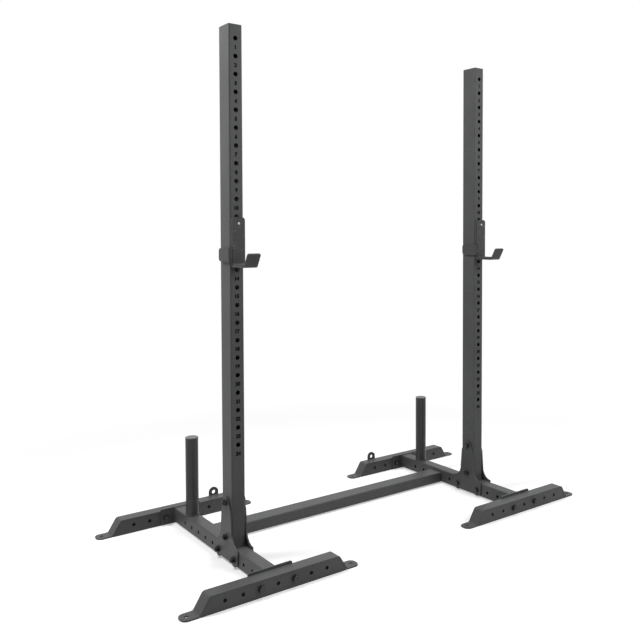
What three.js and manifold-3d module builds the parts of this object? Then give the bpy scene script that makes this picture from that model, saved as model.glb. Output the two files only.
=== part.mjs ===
// Pair of upright posts on two base rails, joined by a low cross tube, with a
// bar cup hung on each post and a storage post behind it.
// Units are millimetres. X runs from the left post to the right post, Y to the
// rear and Z up. The origin is on the floor, in the middle of the footprint.

import * as THREE from 'three';
import { mergeVertices } from 'three/addons/utils/BufferGeometryUtils.js';
import Module from 'manifold-3d';

const wasm = await Module();
wasm.setup();

// Clearances and facets
const seatGap = 0.3;
const cutOverrun = 10;
const boltSides = 6;
const holeSides = 8;
const roundSides = 24;
const cornerSteps = 2;

// Overall layout
const standHeight = 1840;
const postSpacing = 1140;
const holePitch = 60;

// Upright posts
const postWidth = 50;
const postDepth = 75;
const tubeWall = 3;
const tubeCorner = 5;
const pegHoleDiameter = 16;
const pegHoleCount = 24;
const topHoleDrop = 47;
const capThickness = 3;
const capSkirtLength = 18;
const capSkirtWall = 2.5;

// Base rails, which run to the front and to the rear of the posts
const railWidth = 50;
const railTop = 60;
const railBottom = 4;
const railFrontReach = 252;
const railRearReach = 461;
const railHoleHeight = 30;
const railHoleFirst = -3;
const railHoleLast = 6;

// Bolts, nuts and washers
const boltDiameter = 12;
const boltHoleDiameter = 13;
const boltHeadAcross = 19;
const boltHeadHeight = 7.5;
const boltStickOut = 4;
const nutHeight = 10;
const washerDiameter = 24;
const washerThickness = 2.5;

// Plates that tie each rail to its feet
const endPlateWidth = 160;
const endPlateThickness = 6;
const endPlateTop = 64;
const endPlateBottom = 2;

// Feet: a bent strap over two side plates
const footDepth = 50;
const footHeight = 56;
const footTopHalf = 230;
const footBaseHalf = 262;
const footTabReach = 317;
const footTabCorner = 20;
const footTabHoleReach = 296;
const footTabHoleDiameter = 13;
const strapThickness = 5;
const strapBendRadius = 8;
const footPlateThickness = 5;
const footPlateTopInset = 5;
const footPlateBaseInset = 10;
const footHoleHeight = 29;
const footHolePitch = 61;
const footHoleHalfCount = 3;
const footBoltIndex = 1;

// Eye plate on the rear face of each rear foot
const eyePlateThickness = 6;
const eyePlateRadius = 20;
const eyePlateTop = 88;
const eyePlateBottom = 12;
const eyeHoleDiameter = 15;
const eyePlateReach = 166;

// Gusset plates on both sides of each post and rail
const gussetThickness = 5;
const gussetTop = 230;
const gussetNeckHalf = 34;
const gussetNeckHeight = 185;
const gussetFlareHeight = 112;
const gussetFlareHalf = 40;
const gussetFootHalf = 85;
const gussetShoulderHeight = 66;
const gussetBottom = 4;
const gussetWebBottom = 12;
const gussetUpperBoltHeight = 210;
const gussetLowerBoltHeight = 90;

// Cross tube between the rails
const crossDepth = 70;
const crossHeight = 44;
const crossCentreReach = 210;
const crossFlangeThickness = 6;
const crossBoltSpacing = 26;
const crossBoltHeight = 24;

// Storage posts
const storeDiameter = 48;
const storeReach = 350;
const storeTop = 360;
const storeCapHeight = 4;
const storeCapPlugDepth = 14;

// Bar cups, hung by a peg in one of the post holes
const cupHole = 12;
const cupWidth = 48;
const cupSteel = 5;
const cupBendRadius = 6;
const cupPadThickness = 4;
const cupLinerThickness = 6;
const cupRise = 58;
const cupShelfDrop = 110;
const cupShelfReach = 90;
const cupLipRise = 46;
const cupLipFlare = 27;
const cupTopCorner = 10;
const cupLipCorner = 6;
const cupFlangeTopDrop = 47;
const cupFlangeBottomDrop = 92;
const cupFlangeReach = 69;
const cupFlangeCorner = 12;
const cupSideGap = 1;
const pegDiameter = 14;
const pegReach = 30;
const pegTip = 2;
const screwRise = 37;
const screwHeadDiameter = 9;
const screwHeadHeight = 2.4;
const screwShankDiameter = 5;
const screwHoleDiameter = 5.8;

// Places that follow from the sizes above
const boltHeadStack = seatGap + washerThickness + boltHeadHeight;
const footBlock = endPlateThickness + footDepth + 2 * seatGap;
const frontReach = railFrontReach + footBlock + boltHeadStack;
const rearReach = railRearReach + footBlock + Math.max(boltHeadStack, seatGap + eyePlateThickness);
const postY = (frontReach - rearReach) / 2;
const railHeight = railTop - railBottom;
const railMiddle = (railTop + railBottom) / 2;
const postFoot = railTop + seatGap;
const postTubeLength = standHeight - postFoot;
const topHoleHeight = standHeight - topHoleDrop;
const cupPegHeight = topHoleHeight - (cupHole - 1) * holePitch;
const crossMiddle = railBottom + crossHeight / 2;

// Materials
function paint(colour, roughness, metalness) {
  return new THREE.MeshStandardMaterial({ color: colour, roughness, metalness });
}
const powderCoat = () => paint(0x4a4b4d, 0.45, 0.35);
const cupCoat = () => paint(0x3c3d3f, 0.45, 0.35);
const zincBlack = () => paint(0x2b2b2d, 0.4, 0.7);
const brightZinc = () => paint(0xb9bbbd, 0.3, 0.9);
const linerPlastic = () => paint(0x232325, 0.6, 0);
const capPlastic = () => paint(0x2a2a2c, 0.65, 0);
const storeCapGrey = () => paint(0xb4b6b8, 0.5, 0.1);

// Solid modelling helpers
function toSolid(geometry) {
  const bare = geometry.index ? geometry.clone() : geometry;
  bare.deleteAttribute('normal');
  bare.deleteAttribute('uv');
  const merged = mergeVertices(bare);
  const vertProperties = new Float32Array(merged.attributes.position.array);
  const triVerts = new Uint32Array(merged.index.array);
  return new wasm.Manifold(new wasm.Mesh({ numProp: 3, vertProperties, triVerts }));
}

function toGeometry(solid) {
  const mesh = solid.getMesh();
  const geometry = new THREE.BufferGeometry();
  geometry.setAttribute('position', new THREE.BufferAttribute(new Float32Array(mesh.vertProperties), 3));
  geometry.setIndex(new THREE.BufferAttribute(new Uint32Array(mesh.triVerts), 1));
  geometry.computeVertexNormals();
  return geometry;
}

function subtractAll(solid, cutters) {
  return cutters.reduce((rest, cutter) => rest.subtract(cutter), solid);
}

function addAll(solids) {
  return solids.reduce((sum, solid) => sum.add(solid));
}

// Outlines are lists of [u, v] points, run anticlockwise
function arcPoints(centreU, centreV, radius, fromAngle, toAngle, steps) {
  const points = [];
  for (let step = 0; step <= steps; step += 1) {
    const angle = fromAngle + ((toAngle - fromAngle) * step) / steps;
    points.push([centreU + radius * Math.cos(angle), centreV + radius * Math.sin(angle)]);
  }
  return points;
}

function roundedRectangle(width, height, radius) {
  const u = width / 2 - radius;
  const v = height / 2 - radius;
  const quarter = Math.PI / 2;
  return [
    ...arcPoints(u, v, radius, 0, quarter, cornerSteps),
    ...arcPoints(-u, v, radius, quarter, 2 * quarter, cornerSteps),
    ...arcPoints(-u, -v, radius, 2 * quarter, 3 * quarter, cornerSteps),
    ...arcPoints(u, -v, radius, 3 * quarter, 4 * quarter, cornerSteps),
  ];
}

// A line of points with each inner corner turned into an arc, then thickened to its left
function bentStrip(points, bendRadius, thickness) {
  const inner = [];
  const outer = [];
  const normals = [];
  for (let i = 0; i + 1 < points.length; i += 1) {
    const du = points[i + 1][0] - points[i][0];
    const dv = points[i + 1][1] - points[i][1];
    const length = Math.hypot(du, dv);
    normals.push([-dv / length, du / length]);
  }
  const push = (base, normal) => {
    inner.push(base);
    outer.push([base[0] + normal[0] * thickness, base[1] + normal[1] * thickness]);
  };
  push(points[0], normals[0]);
  for (let i = 1; i + 1 < points.length; i += 1) {
    const before = normals[i - 1];
    const after = normals[i];
    const turn = before[0] * after[1] - before[1] * after[0];
    const share = 1 / (1 + before[0] * after[0] + before[1] * after[1]);
    // Distance of the bend's centre from the line, on the inside of the bend
    const reach = turn > 0 ? thickness + bendRadius : -bendRadius;
    const centre = [
      points[i][0] + (before[0] + after[0]) * share * reach,
      points[i][1] + (before[1] + after[1]) * share * reach,
    ];
    const fromAngle = Math.atan2(before[1], before[0]);
    let sweep = Math.atan2(after[1], after[0]) - fromAngle;
    sweep = Math.atan2(Math.sin(sweep), Math.cos(sweep));
    for (let step = 0; step <= cornerSteps; step += 1) {
      const angle = fromAngle + (sweep * step) / cornerSteps;
      const normal = [Math.cos(angle), Math.sin(angle)];
      push([centre[0] - normal[0] * reach, centre[1] - normal[1] * reach], normal);
    }
  }
  push(points[points.length - 1], normals[normals.length - 1]);
  return [...inner, ...outer.reverse()];
}

function makeShape(points) {
  return new THREE.Shape(points.map(([u, v]) => new THREE.Vector2(u, v)));
}

function extruded(shape, length) {
  return new THREE.ExtrudeGeometry(shape, { depth: length, bevelEnabled: false });
}

// Prism of an XY outline, standing on a height
function standingPrism(points, length, base) {
  return toSolid(extruded(makeShape(points), length).translate(0, 0, base));
}

// Prism of an XZ outline, between two places along Y
function prismAlongY(points, fromY, toY) {
  const geometry = extruded(makeShape(points), toY - fromY);
  return toSolid(geometry.rotateX(Math.PI / 2).translate(0, toY, 0));
}

// Prism of a YZ outline, between two places along X
function prismAlongX(points, fromX, toX) {
  const geometry = extruded(makeShape(points), toX - fromX);
  geometry.rotateX(Math.PI / 2).rotateZ(Math.PI / 2);
  return toSolid(geometry.translate(fromX, 0, 0));
}

function roundOutline(centreU, centreV, diameter, sides) {
  const points = arcPoints(centreU, centreV, diameter / 2, 0, 2 * Math.PI, sides);
  return points.slice(0, -1);
}

function hexOutline(centreU, centreV, acrossFlats) {
  const flatToPointShare = 2 / Math.sqrt(3);
  return roundOutline(centreU, centreV, acrossFlats * flatToPointShare, 6);
}

function cylinderAlongY(x, z, diameter, fromY, toY, sides = holeSides) {
  return prismAlongY(roundOutline(x, z, diameter, sides), fromY, toY);
}

function cylinderAlongX(y, z, diameter, fromX, toX, sides = boltSides) {
  return prismAlongX(roundOutline(y, z, diameter, sides), fromX, toX);
}

function shifted(points, u, v) {
  return points.map(([pointU, pointV]) => [pointU + u, pointV + v]);
}

// Square tube with rounded corners: one prism inside another
function tubeSolid(prism, width, height, centreU, centreV, from, to) {
  const outline = shifted(roundedRectangle(width, height, tubeCorner), centreU, centreV);
  const bore = roundedRectangle(width - 2 * tubeWall, height - 2 * tubeWall, tubeCorner - tubeWall);
  return prism(outline, from, to).subtract(
    prism(shifted(bore, centreU, centreV), from - cutOverrun, to + cutOverrun),
  );
}

const stand = new THREE.Group();

function addPiece(parent, name, solid, material) {
  const mesh = new THREE.Mesh(toGeometry(solid), material);
  mesh.name = name;
  parent.add(mesh);
  return mesh;
}

// Places of the bolts that clamp the gussets, as [y, z] from the post's foot
const gussetBolts = [
  [0, gussetUpperBoltHeight],
  [0, gussetLowerBoltHeight],
  [-holePitch, railHoleHeight],
  [holePitch, railHoleHeight],
];

// Upright post: a tube with peg holes through its front and rear walls
function uprightSolid() {
  const outline = roundedRectangle(postWidth, postDepth, tubeCorner);
  const bore = roundedRectangle(postWidth - 2 * tubeWall, postDepth - 2 * tubeWall, tubeCorner - tubeWall);
  const tube = standingPrism(outline, postTubeLength, postFoot).subtract(
    standingPrism(bore, postTubeLength + 2 * cutOverrun, postFoot - cutOverrun),
  );
  const outside = postDepth / 2 + cutOverrun;
  const pegHoles = [];
  for (let hole = 0; hole < pegHoleCount; hole += 1) {
    const height = topHoleHeight - hole * holePitch;
    pegHoles.push(cylinderAlongY(0, height, pegHoleDiameter, -outside, outside));
  }
  const side = postWidth / 2 + cutOverrun;
  const boltHoles = gussetBolts
    .filter(([, z]) => z > postFoot)
    .map(([y, z]) => cylinderAlongX(y, z, boltHoleDiameter, -side, side));
  return subtractAll(tube, [...pegHoles, ...boltHoles]);
}

// Flush plug in the post's top end
function uprightCapSolid() {
  const width = postWidth - 2 * (tubeWall + seatGap);
  const depth = postDepth - 2 * (tubeWall + seatGap);
  const corner = tubeCorner - tubeWall;
  const block = standingPrism(
    roundedRectangle(width, depth, corner),
    capSkirtLength,
    standHeight - capSkirtLength,
  );
  const hollowLength = capSkirtLength - capThickness + cutOverrun;
  const hollow = standingPrism(
    roundedRectangle(width - 2 * capSkirtWall, depth - 2 * capSkirtWall, corner / 2),
    hollowLength,
    standHeight - capThickness - hollowLength,
  );
  return block.subtract(hollow);
}

const crossBoltYs = [-1, 1].map((side) => crossCentreReach + (side * crossBoltSpacing) / 2);

// Base rail: a tube along Y with a row of holes through its sides
function railSolid(innerSide) {
  const tube = tubeSolid(prismAlongY, railWidth, railHeight, 0, railMiddle, -railFrontReach, railRearReach);
  const side = railWidth / 2 + cutOverrun;
  const cutters = [];
  for (let hole = railHoleFirst; hole <= railHoleLast; hole += 1) {
    cutters.push(cylinderAlongX(hole * holePitch, railHoleHeight, boltHoleDiameter, -side, side));
  }
  const fromX = innerSide > 0 ? 0 : -side;
  const toX = innerSide > 0 ? side : 0;
  crossBoltYs.forEach((y) => cutters.push(cylinderAlongX(y, crossBoltHeight, boltHoleDiameter, fromX, toX)));
  return subtractAll(tube, cutters);
}

// Plate that closes one end of the rail and is bolted to the foot
function railEndPlateSolid(fromY) {
  const height = endPlateTop - endPlateBottom;
  const outline = shifted(
    roundedRectangle(endPlateWidth, height, tubeCorner),
    0,
    (endPlateTop + endPlateBottom) / 2,
  );
  const plate = prismAlongY(outline, fromY, fromY + endPlateThickness);
  const holes = [-footBoltIndex, footBoltIndex].map((index) => cylinderAlongY(
    index * footHolePitch,
    footHoleHeight,
    boltHoleDiameter,
    fromY - cutOverrun,
    fromY + endPlateThickness + cutOverrun,
    boltSides,
  ));
  return subtractAll(plate, holes);
}

// Foot strap: a flat bar bent down at both ends into floor tabs with round ends.
// The line runs along its underside
function strapLine() {
  return [
    [-footTabReach, 0],
    [-footBaseHalf, 0],
    [-footTopHalf, footHeight - strapThickness],
    [footTopHalf, footHeight - strapThickness],
    [footBaseHalf, 0],
    [footTabReach, 0],
  ];
}

function footStrapSolid(middleY) {
  const from = middleY - footDepth / 2;
  const to = middleY + footDepth / 2;
  const strip = prismAlongY(bentStrip(strapLine(), strapBendRadius, strapThickness), from, to);
  const plan = roundedRectangle(2 * footTabReach, footDepth, footTabCorner);
  const trimmed = strip.intersect(
    standingPrism(shifted(plan, 0, middleY), footHeight + 2 * cutOverrun, -cutOverrun),
  );
  const holes = [-footTabHoleReach, footTabHoleReach].map((x) => standingPrism(
    roundOutline(x, middleY, footTabHoleDiameter, holeSides),
    footHeight + 2 * cutOverrun,
    -cutOverrun,
  ));
  return subtractAll(trimmed, holes);
}

// Side plate of a foot: welded under the strap's flat top, its ends clear of the slopes
function footPlateSolid(fromY) {
  const top = footHeight - strapThickness / 2;
  const baseHalf = footBaseHalf - footPlateBaseInset;
  const topHalf = footTopHalf - footPlateTopInset;
  const outline = [
    [-baseHalf, 0],
    [baseHalf, 0],
    [topHalf, top],
    [-topHalf, top],
  ];
  const toY = fromY + footPlateThickness;
  const holes = [];
  for (let index = -footHoleHalfCount; index <= footHoleHalfCount; index += 1) {
    holes.push(cylinderAlongY(
      index * footHolePitch,
      footHoleHeight,
      boltHoleDiameter,
      fromY - cutOverrun,
      toY + cutOverrun,
      boltSides,
    ));
  }
  return subtractAll(prismAlongY(outline, fromY, toY), holes);
}

function footSolid(fromY) {
  const rearPlateFrom = fromY + footDepth - footPlateThickness;
  return addAll([
    footStrapSolid(fromY + footDepth / 2),
    footPlateSolid(fromY),
    footPlateSolid(rearPlateFrom),
  ]);
}

// Eye plate: a rounded ear that stands up behind the foot
function eyePlateSolid(x, fromY) {
  const eyeHeight = eyePlateTop - eyePlateRadius;
  const outline = [
    [x - eyePlateRadius, eyePlateBottom],
    [x + eyePlateRadius, eyePlateBottom],
    ...arcPoints(x, eyeHeight, eyePlateRadius, 0, Math.PI, holeSides),
  ];
  const toY = fromY + eyePlateThickness;
  const hole = cylinderAlongY(x, eyeHeight, eyeHoleDiameter, fromY - cutOverrun, toY + cutOverrun);
  return prismAlongY(outline, fromY, toY).subtract(hole);
}

// Gusset: a narrow blade on the post that flares out over the rail
function gussetOutline() {
  const lobe = holePitch;
  const lobeRadius = gussetFootHalf - lobe;
  const topRadius = gussetTop - gussetUpperBoltHeight;
  const flareSteps = cornerSteps * 2;
  const right = [];
  const webHalf = lobe - Math.sqrt(lobeRadius ** 2 - (railHoleHeight - gussetWebBottom) ** 2);
  right.push([webHalf, gussetWebBottom]);
  const lowAngle = Math.atan2(gussetWebBottom - railHoleHeight, webHalf - lobe);
  const lobeHeight = gussetBottom + lobeRadius;
  const fullTurn = 2 * Math.PI;
  const lobeArc = arcPoints(lobe, lobeHeight, lobeRadius, lowAngle + fullTurn, fullTurn, flareSteps);
  right.push(...lobeArc.slice(1));
  right.push([gussetFootHalf, gussetShoulderHeight]);
  for (let step = 1; step <= flareSteps; step += 1) {
    const share = step / flareSteps;
    const sweep = (share * Math.PI) / 2;
    const width = gussetFootHalf - (gussetFootHalf - gussetFlareHalf) * Math.sin(sweep);
    const height = gussetShoulderHeight + (gussetFlareHeight - gussetShoulderHeight) * (1 - Math.cos(sweep));
    right.push([width, height]);
  }
  right.push([gussetNeckHalf, gussetNeckHeight]);
  right.push(...arcPoints(0, gussetTop - topRadius, topRadius, Math.PI / 6, Math.PI / 2, cornerSteps));
  const left = right.slice(0, -1).reverse().map(([y, z]) => [-y, z]);
  return [...right, ...left];
}

function gussetSolid(fromX) {
  const plate = prismAlongX(gussetOutline(), fromX, fromX + gussetThickness);
  const toX = fromX + gussetThickness;
  const holes = gussetBolts.map(([y, z]) => cylinderAlongX(
    y,
    z,
    boltHoleDiameter,
    fromX - cutOverrun,
    toX + cutOverrun,
  ));
  return subtractAll(plate, holes);
}

// Fastener: a bolt drawn tight, with its two washers and its nut. headFace and nutFace are
// the outer faces of what it clamps, and it points from the head towards the nut
function fastenerSolid(prism, [u, v], headFace, nutFace) {
  const direction = Math.sign(nutFace - headFace);
  const between = (outline, a, b) => prism(outline, Math.min(a, b), Math.max(a, b));
  const headSeat = headFace - direction * seatGap;
  const nutSeat = nutFace + direction * seatGap;
  const headWasher = headSeat - direction * washerThickness;
  const nutWasher = nutSeat + direction * washerThickness;
  const nutEnd = nutWasher + direction * nutHeight;
  const washer = roundOutline(u, v, washerDiameter, holeSides);
  const hexagon = hexOutline(u, v, boltHeadAcross);
  return addAll([
    between(hexagon, headWasher - direction * boltHeadHeight, headWasher),
    between(washer, headWasher, headSeat),
    between(roundOutline(u, v, boltDiameter, boltSides), headWasher, nutEnd + direction * boltStickOut),
    between(washer, nutSeat, nutWasher),
    between(hexagon, nutWasher, nutEnd),
  ]);
}

// Storage post: a round tube with a plug in its top
function ringSolid(centreY, outerDiameter, innerDiameter, fromZ, toZ) {
  const outer = standingPrism(roundOutline(0, centreY, outerDiameter, roundSides), toZ - fromZ, fromZ);
  const inner = standingPrism(
    roundOutline(0, centreY, innerDiameter, roundSides),
    toZ - fromZ + 2 * cutOverrun,
    fromZ - cutOverrun,
  );
  return outer.subtract(inner);
}

function storePostSolid() {
  const foot = railTop + seatGap;
  return ringSolid(storeReach, storeDiameter, storeDiameter - 2 * tubeWall, foot, storeTop - storeCapHeight);
}

function storeCapSolid() {
  const lidBase = storeTop - storeCapHeight + seatGap;
  const lid = standingPrism(
    roundOutline(0, storeReach, storeDiameter, roundSides),
    storeTop - lidBase,
    lidBase,
  );
  const plugDiameter = storeDiameter - 2 * (tubeWall + seatGap);
  const plug = ringSolid(
    storeReach,
    plugDiameter,
    plugDiameter - 2 * capSkirtWall,
    lidBase - storeCapPlugDepth,
    lidBase,
  );
  return lid.add(plug);
}

// Bar cup. Its own frame has the peg's axis at the origin, with the post's axis at X = 0
const cupFace = -postDepth / 2 - seatGap;
const cupPadFront = cupFace - cupPadThickness;
const cupPlateRear = cupPadFront - seatGap;
const cupPlateFront = cupPlateRear - cupSteel;
const cupLinerRear = cupPlateFront - seatGap;
const cupLinerFront = cupLinerRear - cupLinerThickness;
const cupShelfFront = cupPlateFront - cupShelfReach;
const cupFlangeOuter = -postWidth / 2 - cupSideGap - cupSteel;

// Rounds the upper corners of the cup's back and lip, seen along Y
function cupFaceOutline(width, low, high, corner) {
  const u = width / 2;
  return [
    [-u, low],
    [u, low],
    ...arcPoints(u - corner, high - corner, corner, 0, Math.PI / 2, cornerSteps * 2),
    ...arcPoints(-u + corner, high - corner, corner, Math.PI / 2, Math.PI, cornerSteps * 2),
  ];
}

function cupBracketSolid() {
  const line = [
    [cupShelfFront - cupLipFlare, -cupShelfDrop + cupLipRise],
    [cupShelfFront, -cupShelfDrop],
    [cupPlateRear, -cupShelfDrop],
    [cupPlateRear, cupRise],
  ];
  const halfWidth = cupWidth / 2;
  const strip = prismAlongX(bentStrip(line, cupBendRadius, cupSteel), -halfWidth, halfWidth);
  const far = cupShelfFront - cupLipFlare - cutOverrun;
  const lipZone = prismAlongY(
    cupFaceOutline(cupWidth, -cupShelfDrop - cutOverrun, -cupShelfDrop + cupLipRise, cupLipCorner),
    far,
    (cupShelfFront + cupPlateFront) / 2,
  );
  const backZone = prismAlongY(
    cupFaceOutline(cupWidth, -cupShelfDrop - cutOverrun, cupRise, cupTopCorner),
    (cupShelfFront + cupPlateFront) / 2,
    cutOverrun,
  );
  const trimmed = strip.intersect(lipZone.add(backZone));
  const flange = cupFlangeSolid();
  const holes = [
    cylinderAlongY(0, 0, pegDiameter + 2 * seatGap, far, cutOverrun, roundSides),
    cylinderAlongY(0, screwRise, screwHoleDiameter, far, cutOverrun, boltSides),
  ];
  return subtractAll(trimmed.add(flange), holes);
}

// Side flange, bent back from the plate's left edge to stop the cup turning
function cupFlangeSolid() {
  const rear = cupPlateFront + cupFlangeReach + cupSteel;
  const outline = [
    [cupPlateFront, -cupFlangeBottomDrop],
    ...arcPoints(
      rear - cupFlangeCorner,
      -cupFlangeBottomDrop + cupFlangeCorner,
      cupFlangeCorner,
      -Math.PI / 2,
      0,
      cornerSteps,
    ),
    ...arcPoints(
      rear - cupFlangeCorner,
      -cupFlangeTopDrop - cupFlangeCorner,
      cupFlangeCorner,
      0,
      Math.PI / 2,
      cornerSteps,
    ),
    [cupPlateFront, -cupFlangeTopDrop],
  ];
  const blade = prismAlongX(outline, cupFlangeOuter, cupFlangeOuter + cupSteel);
  const rootOutline = [
    [cupFlangeOuter, cupPlateFront],
    [-cupWidth / 2 + cupSteel, cupPlateFront],
    [-cupWidth / 2 + cupSteel, cupPlateRear],
    [cupFlangeOuter, cupPlateRear],
  ];
  const root = standingPrism(rootOutline, cupFlangeBottomDrop - cupFlangeTopDrop, -cupFlangeBottomDrop);
  return blade.add(root);
}

function cupSheetSolid(rearY, frontY, low, high, width, withPegHole) {
  const sheet = prismAlongY(cupFaceOutline(width, low, high, cupTopCorner), frontY, rearY);
  const cutters = [
    cylinderAlongY(0, screwRise, screwHoleDiameter, frontY - cutOverrun, rearY + cutOverrun, boltSides),
  ];
  if (withPegHole) {
    const pegHole = pegDiameter + 2 * seatGap;
    cutters.push(cylinderAlongY(0, 0, pegHole, frontY - cutOverrun, rearY + cutOverrun, roundSides));
  }
  return subtractAll(sheet, cutters);
}

// Pad between the cup's plate and the post
function cupPadSolid() {
  const width = cupWidth - 2 * cupSideGap;
  return cupSheetSolid(cupFace, cupPadFront, -cupShelfDrop + cupSteel, cupRise, width, true);
}

// Liner of the bar's seat: an upright sheet and a sheet on the shelf
function cupLinerSolid() {
  const seat = -cupShelfDrop + cupSteel + seatGap;
  const width = cupWidth - 2 * cupSideGap;
  const upright = cupSheetSolid(cupLinerRear, cupLinerFront, seat + cupBendRadius, cupRise, width, false);
  const shelfFront = cupShelfFront + cupBendRadius;
  const shelfOutline = [
    [shelfFront, seat],
    [cupLinerRear - cupBendRadius, seat],
    [cupLinerRear, seat + cupBendRadius],
    [cupLinerRear, seat + cupLinerThickness + cupBendRadius],
    [cupLinerFront, seat + cupLinerThickness + cupBendRadius],
    [cupLinerFront, seat + cupLinerThickness],
    [shelfFront, seat + cupLinerThickness],
  ];
  return upright.add(prismAlongX(shelfOutline, -width / 2, width / 2));
}

function cupPegSolid() {
  const rear = cupPadFront + pegReach + cupPadThickness;
  const shank = cylinderAlongY(0, 0, pegDiameter - 2 * pegTip, cupPlateFront, rear + pegTip, roundSides);
  const body = cylinderAlongY(0, 0, pegDiameter, cupPlateFront, rear, roundSides);
  return body.add(shank);
}

function cupScrewSolid() {
  const head = cylinderAlongY(
    0,
    screwRise,
    screwHeadDiameter,
    cupLinerFront - seatGap - screwHeadHeight,
    cupLinerFront - seatGap,
  );
  const shank = cylinderAlongY(
    0,
    screwRise,
    screwShankDiameter,
    cupLinerFront - seatGap,
    cupPadFront,
    boltSides,
  );
  return head.add(shank);
}

// Assembly of one side: innerSide is 1 when the other post lies towards +X
function addSide(name, sideX, innerSide) {
  const side = new THREE.Group();
  side.position.set(sideX, postY, 0);
  stand.add(side);

  addPiece(side, `${name}_upright`, uprightSolid(), powderCoat());
  addPiece(side, `${name}_upright_cap`, uprightCapSolid(), capPlastic());
  addPiece(side, `${name}_rail`, railSolid(innerSide), powderCoat());

  const gussetInner = railWidth / 2 + seatGap;
  addPiece(side, `${name}_gusset_minus_x`, gussetSolid(-gussetInner - gussetThickness), powderCoat());
  addPiece(side, `${name}_gusset_plus_x`, gussetSolid(gussetInner), powderCoat());
  // Heads face the other post and nuts face outwards
  const gussetOuter = gussetInner + gussetThickness;
  gussetBolts.forEach((place, index) => {
    const bolt = fastenerSolid(prismAlongX, place, innerSide * gussetOuter, -innerSide * gussetOuter);
    addPiece(side, `${name}_gusset_bolt_${index + 1}`, bolt, zincBlack());
  });

  const ends = [
    { end: 'front', direction: -1, railEnd: -railFrontReach },
    { end: 'rear', direction: 1, railEnd: railRearReach },
  ];
  ends.forEach(({ end, direction, railEnd }) => {
    const plateNear = railEnd + direction * seatGap;
    const plateFar = plateNear + direction * endPlateThickness;
    const platePiece = railEndPlateSolid(Math.min(plateNear, plateFar));
    addPiece(side, `${name}_${end}_rail_plate`, platePiece, powderCoat());
    const footNear = plateFar + direction * seatGap;
    const footFar = footNear + direction * footDepth;
    addPiece(side, `${name}_${end}_foot`, footSolid(Math.min(footNear, footFar)), powderCoat());
    [-footBoltIndex, footBoltIndex].forEach((index, number) => {
      const place = [index * footHolePitch, footHoleHeight];
      const bolt = fastenerSolid(prismAlongY, place, footFar, plateNear);
      addPiece(side, `${name}_${end}_foot_bolt_${number + 1}`, bolt, zincBlack());
    });
  });

  const eyePiece = eyePlateSolid(innerSide * eyePlateReach, railRearReach + footBlock + seatGap);
  addPiece(side, `${name}_rear_eye_plate`, eyePiece, powderCoat());

  addPiece(side, `${name}_store_post`, storePostSolid(), powderCoat());
  addPiece(side, `${name}_store_cap`, storeCapSolid(), storeCapGrey());

  const cup = new THREE.Group();
  cup.position.set(0, 0, cupPegHeight);
  side.add(cup);
  addPiece(cup, `${name}_cup_bracket`, cupBracketSolid(), cupCoat());
  addPiece(cup, `${name}_cup_liner`, cupLinerSolid(), linerPlastic());
  addPiece(cup, `${name}_cup_pad`, cupPadSolid(), linerPlastic());
  addPiece(cup, `${name}_cup_peg`, cupPegSolid(), zincBlack());
  addPiece(cup, `${name}_cup_screw`, cupScrewSolid(), brightZinc());
}

addSide('left', -postSpacing / 2, 1);
addSide('right', postSpacing / 2, -1);

// Cross tube with an end flange against each rail, bolted from inside the rail
const crossGroup = new THREE.Group();
crossGroup.position.set(0, postY, 0);
stand.add(crossGroup);
const crossEnd = postSpacing / 2 - railWidth / 2 - seatGap;
const crossTubeEnd = crossEnd - crossFlangeThickness - seatGap;
addPiece(
  crossGroup,
  'cross_tube',
  tubeSolid(
    prismAlongX,
    crossDepth,
    crossHeight,
    crossCentreReach,
    crossMiddle,
    -crossTubeEnd,
    crossTubeEnd,
  ),
  powderCoat(),
);

function crossFlangeSolid(fromX) {
  const section = roundedRectangle(crossDepth, crossHeight, tubeCorner);
  const outline = shifted(section, crossCentreReach, crossMiddle);
  const toX = fromX + crossFlangeThickness;
  const holes = crossBoltYs.map((y) => cylinderAlongX(
    y,
    crossBoltHeight,
    boltHoleDiameter,
    fromX - cutOverrun,
    toX + cutOverrun,
  ));
  return subtractAll(prismAlongX(outline, fromX, toX), holes);
}
addPiece(crossGroup, 'left_cross_flange', crossFlangeSolid(-crossEnd), powderCoat());
addPiece(crossGroup, 'right_cross_flange', crossFlangeSolid(crossEnd - crossFlangeThickness), powderCoat());

// Bolts of the cross tube: heads inside the rails, nuts inside the cross tube
const railInnerWall = postSpacing / 2 - railWidth / 2 + tubeWall;
const flangeInnerFace = crossEnd - crossFlangeThickness;
[-1, 1].forEach((direction) => {
  const name = direction < 0 ? 'left' : 'right';
  crossBoltYs.forEach((y, index) => {
    const place = [y, crossBoltHeight];
    const bolt = fastenerSolid(prismAlongX, place, direction * railInnerWall, direction * flangeInnerFace);
    addPiece(crossGroup, `${name}_cross_bolt_${index + 1}`, bolt, zincBlack());
  });
});

export default stand;
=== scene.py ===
import math

import bmesh
import bpy
from bpy.props import FloatProperty, FloatVectorProperty, IntProperty, PointerProperty
from bpy.types import Operator, Panel, PropertyGroup
from mathutils import Matrix, Vector
from mathutils.geometry import tessellate_polygon


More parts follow.
